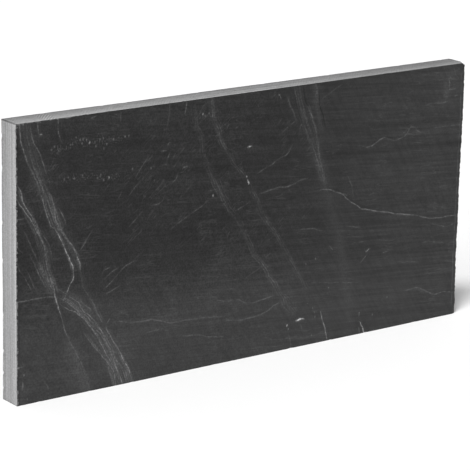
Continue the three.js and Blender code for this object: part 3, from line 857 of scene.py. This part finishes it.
def chips(shader):
    """How much of the lighter stone shows in chips along the arrises of a split face."""
    under = shader.math("SUBTRACT", HEIGHT, shader.z)
    under = shader.plus(under, shader.ramp(shader.x, *TOP_CHIPS_ALONG))
    inside = shader.math("MINIMUM", shader.plus(shader.x, -LEFT), under)
    past = shader.math("MULTIPLY_ADD", shader.clouds(*CHIP_CLOUDS), -CHIP_REACH, inside)
    return shader.ramp(past, *CHIP_BORDER)


def split_material():
    """The dark split faces, mottled, scratched and veined."""
    shader = Shader("slate_split")
    x, z = vein_places(shader)
    # Painted light: the split faces go lighter low down and at the right
    colour = shader.mix(split_painted_light_and_top_band(shader), grey(SPLIT_DARK), grey(SPLIT_LIGHT))
    colour = shader.vector("MULTIPLY", colour, split_tone(shader))
    colour = shader.mix(dark_marks(shader, x, z), colour, grey(SEAM_TONE))
    light = shader.plus(light_marks(shader, x, z), scratches(shader))
    colour = shader.mix(light, colour, grey(VEIN_TONE))
    colour = shader.mix(chips(shader), colour, grey(CHIP_TONE))
    height = shader.plus(shader.clouds(*SPLIT_PITS), shader.clouds(*SPLIT_FLAKES))
    return shader.finish(
        Base_Color=colour,
        Roughness=shader.tone(SPLIT_ROUGHNESS),
        Specular_IOR_Level=SPLIT_SHINE,
        Normal=shader.bump(height, SPLIT_BUMP),
    )


def saw_marks(shader):
    """The tone of the saw marks: leaning waves in patches, strongest at one spot near the left end."""
    place = shader.math("MULTIPLY_ADD", shader.y, SAW_LEAN, shader.x)
    place = shader.math("MULTIPLY_ADD", shader.clouds(SAW_WARP_SIZE), SAW_WARP, place)
    waves = shader.math("SINE", shader.times(place, 2 * math.pi / SAW_PERIOD))
    off = shader.math("ABSOLUTE", shader.math("SUBTRACT", shader.x, SAW_SPOT))
    patches = shader.math("MAXIMUM", shader.tone(SAW_PATCHES), shader.ramp(off, *SAW_SPOT_BORDER))
    return shader.factor(shader.times(waves, patches), SAW_TONE)


def arris_highlight(shader, top):
    """A painted highlight along the front arris of the top, bright in patches."""
    patches = shader.times(shader.ramp(shader.x, *ARRIS_HIGHLIGHT_ALONG), shader.tone(ARRIS_HIGHLIGHT_PATCHES))
    return shader.plus(shader.times(shader.ramp(shader.y, *ARRIS_HIGHLIGHT_ACROSS), patches, top), 1.0)


def sawn_tone(shader, saw):
    """The uneven tone of the sawn edges, with a dark seam where the top meets the left end and a painted
    highlight along the front arris of the top.
    """
    top = shader.ramp(shader.z, *TOP_FACE)
    end = shader.ramp(shader.x, *END_FACE)
    corner = shader.plus(shader.plus(shader.x, -LEFT), shader.math("SUBTRACT", HEIGHT, shader.z))
    return shader.times(
        shader.ramp(shader.x, *SAWN_ALONG),
        shader.ramp(shader.y, *SAWN_ACROSS),
        shader.factor(shader.ramp(shader.y, *END_LIGHT), end),
        shader.tone(SAWN_LAYERS),
        saw,
        shader.tone(SAWN_GRAIN),
        shader.ramp(corner, *CORNER_SEAM),
        # Painted highlight along the front arris of the top
        arris_highlight(shader, top),
        shader.factor(shader.ramp(shader.y, *TOP_ACROSS), top),
        shader.factor(shader.tone(TOP_DASHES), top),
    )


def sawn_material():
    """The pale sawn edges, with the marks of the saw and the layers of the stone."""
    shader = Shader("slate_sawn")
    saw = saw_marks(shader)
    height = shader.math("MULTIPLY_ADD", saw, SAW_HEIGHT, shader.clouds(*SAWN_PITS))
    return shader.finish(
        Base_Color=shader.vector("MULTIPLY", grey(SAWN_TONE)[:3], sawn_tone(shader, saw)),
        Roughness=SAWN_ROUGHNESS,
        Specular_IOR_Level=SAWN_SHINE,
        Normal=shader.bump(height, SAWN_BUMP),
    )


def hewn_material():
    """The hewn end, whose layers show as dark and lighter bands."""
    shader = Shader("slate_hewn")
    layers = shader.tone(HEWN_LAYERS)
    colour = shader.mix(layers, grey(HEWN_DARK), grey(HEWN_LIGHT))
    return shader.finish(
        Base_Color=shader.mix(shader.tone(BRUISES), colour, grey(BRUISE_TONE)),
        Roughness=HEWN_ROUGHNESS,
        Specular_IOR_Level=HEWN_SHINE,
        Normal=shader.bump(shader.plus(shader.clouds(*HEWN_PITS), layers), HEWN_BUMP),
    )


def longest(edge, sizes):
    """How long an edge may be, from the sizes for the front's border, the front and elsewhere."""
    border, front, elsewhere = sizes
    if any(corner.co.y > LOW.y + FRONT_DEPTH * MM for corner in edge.verts):
        return elsewhere * MM
    if all(corner.co.x > HIGH.x - BORDER_WIDTH * MM for corner in edge.verts):
        return border * MM
    return front * MM


def long_edge(facet):
    """The longest edge of a facet."""
    return max(facet.edges, key=lambda edge: edge.calc_length())


def is_sliver(facet):
    """Whether the corners of a facet lie nearly on one line."""
    return 2 * facet.calc_area() / long_edge(facet).calc_length() < SLIVER * MM


def turn_slivers(shape):
    """Turns the long edge of each sliver, so that the facets beside it stay whole."""
    edges = dict.fromkeys(long_edge(facet) for facet in shape.faces if is_sliver(facet))
    bmesh.ops.rotate_edges(shape, edges=list(edges), use_ccw=False)


def refined(solid):
    """The solid's shape with its facets cut up finely, most finely on the front."""
    shape = bmesh.new()
    shape.from_mesh(solid.data)
    bmesh.ops.remove_doubles(shape, verts=shape.verts, dist=MERGE * MM)
    bmesh.ops.dissolve_degenerate(shape, edges=shape.edges, dist=MERGE * MM)
    bmesh.ops.triangulate(shape, faces=shape.faces)
    for sizes in LONGEST_EDGES:
        too_long = [edge for edge in shape.edges if edge.calc_length() > longest(edge, sizes)]
        bmesh.ops.subdivide_edges(shape, edges=too_long, cuts=1)
        bmesh.ops.triangulate(shape, faces=shape.faces)
        turn_slivers(shape)
    bmesh.ops.remove_doubles(shape, verts=shape.verts, dist=WELD * MM)
    return shape


def finish_of(facet):
    """Which of the three finishes a facet has. The top, the base and the left end are sawn."""
    normal, middle = facet.normal, facet.calc_center_median()
    sawn_sides = (
        (normal.z, HIGH.z - middle.z),
        (-normal.z, middle.z - LOW.z),
        (-normal.x, middle.x - LOW.x),
    )
    if any(facing > SAWN_FACING and depth < SAWN_DEPTH * MM for facing, depth in sawn_sides):
        return SAWN
    if normal.x > HEWN_FACING and HIGH.x - middle.x < HEWN_DEPTH * MM:
        return HEWN
    return SPLIT


def wave(kind, x, y, z):
    """Height of one kind of wave at a place."""
    height, (along, through, up), start = kind
    return height * noise.noise(Vector((x / along, start + y / through, z / up)))


def ripple(place):
    """Height of the relief of split slate at a place."""
    x, y, z = place / MM
    turn = math.radians(VEIN_SLOPE)
    down = x * math.cos(turn) + z * math.sin(turn)
    across = z * math.cos(turn) - x * math.sin(turn)
    return wave(RIDGES, across, y, down) + wave(STEPS, x, y, z) + wave(DIMPLES, x, y, z)


def rugged(place):
    """Height of the relief of the hewn end at a place."""
    x, y, z = place / MM
    return wave(LUMPS, x, y, z) + wave(SPLINTERS, x, y, z)


def broken_back(place):
    """How far the front is broken back along the hewn end at a place."""
    x, y, z = place / MM
    width = ARRIS_WIDTH * (1 + ARRIS_SWING * (wave(JAGS, 0, 0, z) + wave(NICKS, 0, 0, z)))
    near = min(max((x + width + LEFT) / ARRIS_WIDTH, 0.0), ARRIS_MOST)
    shallow = min(max(1 - (y - FRONT) / ARRIS_REACH, 0.0), 1.0)
    return ARRIS_DEPTH * near * shallow


def worn_corners(shape):
    """How deep each corner that lies on an arris is worn."""
    worn = {}
    for edge in shape.edges:
        if edge.calc_face_angle() > math.radians(ARRIS_ANGLE):
            for corner in edge.verts:
                worn[corner] = WEAR_DEPTH + WEAR_SWING * noise.noise(corner.co / (WEAR_SIZE * MM))
    return worn


def relief_at(corner, worn):
    """How far a corner of the facets stands out once the stone has its relief."""
    finishes = {facet.material_index for facet in corner.link_faces}
    if corner in worn:
        return -max(0.0, worn[corner])
    if finishes == {SPLIT}:
        return ripple(corner.co)
    if finishes == {HEWN}:
        return rugged(corner.co)
    return 0.0


def weather(shape):
    """Gives the corners the relief of their finish, wears the arrises and breaks back one of them."""
    shape.normal_update()
    worn = worn_corners(shape)
    for corner in shape.verts:
        back = Vector((0.0, broken_back(corner.co), 0.0))
        corner.co += (corner.normal * relief_at(corner, worn) + back) * MM


def keep_in_box(shape):
    """Brings back what the relief has put outside the solid's box."""
    for corner in shape.verts:
        corner.co = [min(max(value, low), high) for value, low, high in zip(corner.co, LOW, HIGH)]


def mesh_of(shape, name):
    """A mesh of a shape that is then no longer needed."""
    mesh = bpy.data.meshes.new(name)
    shape.to_mesh(mesh)
    shape.free()
    return mesh


def placed(name, data):
    """A new object in the scene."""
    thing = bpy.data.objects.new(name, data)
    bpy.context.scene.collection.objects.link(thing)
    return thing


def add_stone():
    """The stone itself, in place of its solid."""
    shape = refined(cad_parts[NODE])
    shape.normal_update()
    for facet in shape.faces:
        facet.material_index = finish_of(facet)
        facet.smooth = True
    weather(shape)
    keep_in_box(shape)
    mesh = mesh_of(shape, "slate_stone")
    mesh.set_sharp_from_angle(angle=math.radians(SHARP_ANGLE))
    for material in (split_material(), sawn_material(), hewn_material()):
        mesh.materials.append(material)
    stone = placed("slate_stone", mesh)
    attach(stone, "root")
    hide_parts(NODE)


def add_floor():
    """A plain pale floor, wide enough to fill the view."""
    shape = bmesh.new()
    bmesh.ops.create_grid(shape, x_segments=1, y_segments=1, size=FLOOR_REACH * MM)
    mesh = mesh_of(shape, "floor")
    colour = (FLOOR_TONE, FLOOR_TONE, FLOOR_TONE, 1.0)
    shader = Shader("pale_floor")
    shader.finish(Base_Color=colour, Roughness=FLOOR_ROUGHNESS, Specular_IOR_Level=0.0)
    mesh.materials.append(shader.material)
    floor = placed("floor", mesh)
    floor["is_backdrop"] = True


def add_light():
    """Even light from all round, a wide low light from the left and a narrower one from above."""
    world = bpy.data.worlds.new("studio")
    world.use_nodes = True
    background = world.node_tree.nodes["Background"]
    background.inputs["Color"].default_value = (1.0, 1.0, 1.0, 1.0)
    background.inputs["Strength"].default_value = WORLD_STRENGTH
    bpy.context.scene.world = world
    for name, (towards, energy, width) in LIGHTS.items():
        sun = bpy.data.lights.new(name, "SUN")
        sun.energy = energy
        sun.angle = math.radians(width)
        placed(name, sun).rotation_euler = Vector(towards).to_track_quat("Z", "Y").to_euler()


def add_camera():
    """The camera at the photograph's viewing angle."""
    azimuth, elevation, roll = (math.radians(angle) for angle in CAMERA_ANGLES)
    flat = math.cos(elevation)
    back = Vector((math.sin(azimuth) * flat, -math.cos(azimuth) * flat, math.sin(elevation)))
    right = Vector((math.cos(azimuth), math.sin(azimuth), 0.0))
    axes = Matrix((right, back.cross(right), back)).transposed() @ Matrix.Rotation(roll, 3, "Z")
    data = bpy.data.cameras.new("camera")
    data.lens = LENS
    data.sensor_width = SENSOR
    camera = placed("camera", data)
    camera.matrix_world = Matrix.Translation(CAMERA_PLACE) @ axes.to_4x4()
    bpy.context.scene.camera = camera


def write_sizes():
    """Works out the solid's box and the dressed stone's box side by side."""
    sizes = {"cad": CAD_BOX, "visual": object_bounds()}
    {name: [list(corner) for corner in box] for name, box in sizes.items()}


add_stone()
add_floor()
add_light()
add_camera()
bpy.context.scene.view_settings.view_transform = "Standard"
write_sizes()
